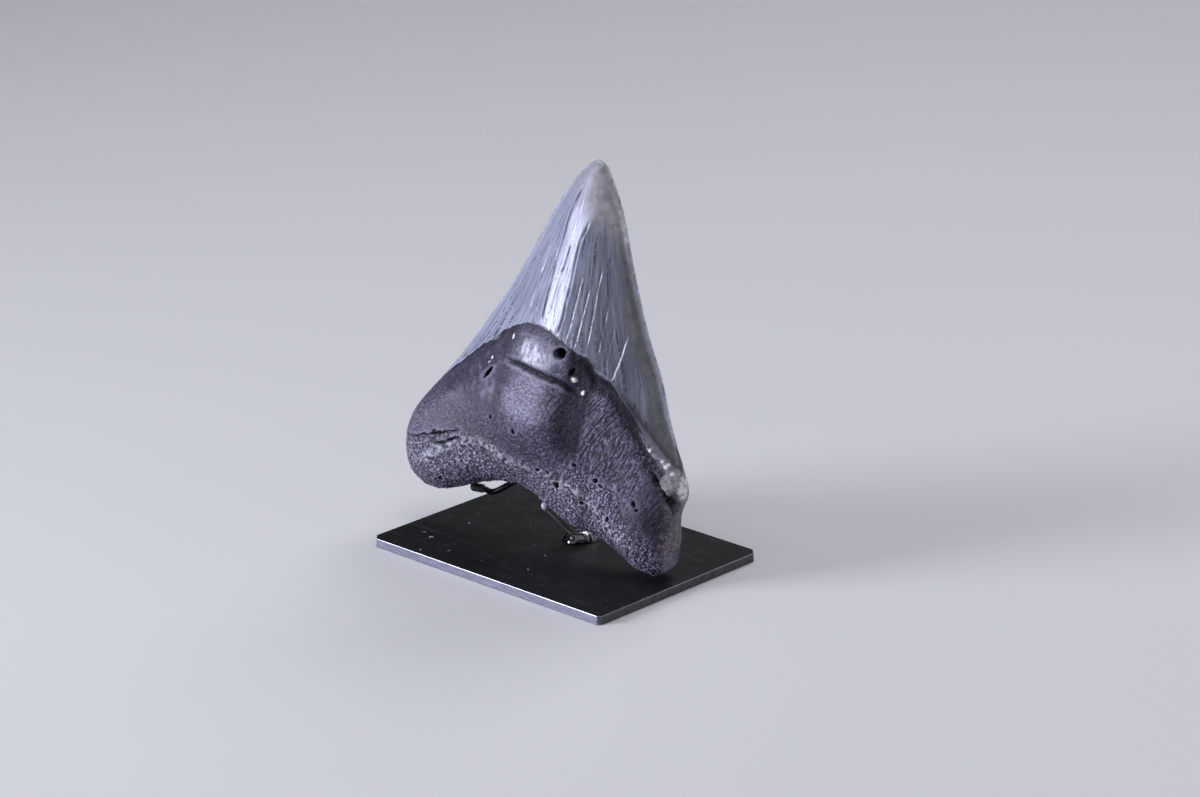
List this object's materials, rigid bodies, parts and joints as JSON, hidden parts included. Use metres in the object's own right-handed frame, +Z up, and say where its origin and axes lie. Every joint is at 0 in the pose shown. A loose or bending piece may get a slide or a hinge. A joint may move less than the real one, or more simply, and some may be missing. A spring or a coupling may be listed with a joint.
{
  "type": "megalodon tooth on display stand",
  "caption": "Large serrated fossil shark tooth standing tip up on a thin steel plate, held by a rod behind and wire prongs under its root.",
  "frame": {"origin": "centre of the plate's underside", "axes": "+Z up towards the tooth's tip, +X along the plate's long edge, -Y the side the tooth's front (tongue side) faces"},
  "size_m": [0.1087, 0.075, 0.1316],
  "materials": {
    "fossil_tooth": "fossil: satin grey enamel on the crown, dark semi-gloss to coarse porous bone on the root",
    "plate_steel": "blackened steel, dusty satin top, bright sawn and filed edges",
    "rod_steel": "blackened steel rod and wire",
    "prong_sleeve": "smooth grey sleeve",
    "weld_metal": "bright bare weld metal"
  },
  "bodies": {
    "root": {"tooth": "fossil_tooth", "base_plate": "plate_steel", "post": "rod_steel", "prong_left": "rod_steel", "prong_right": "rod_steel", "tip_left": "prong_sleeve", "tip_right": "prong_sleeve", "weld_bead": "weld_metal"}
  },
  "joints": []
}
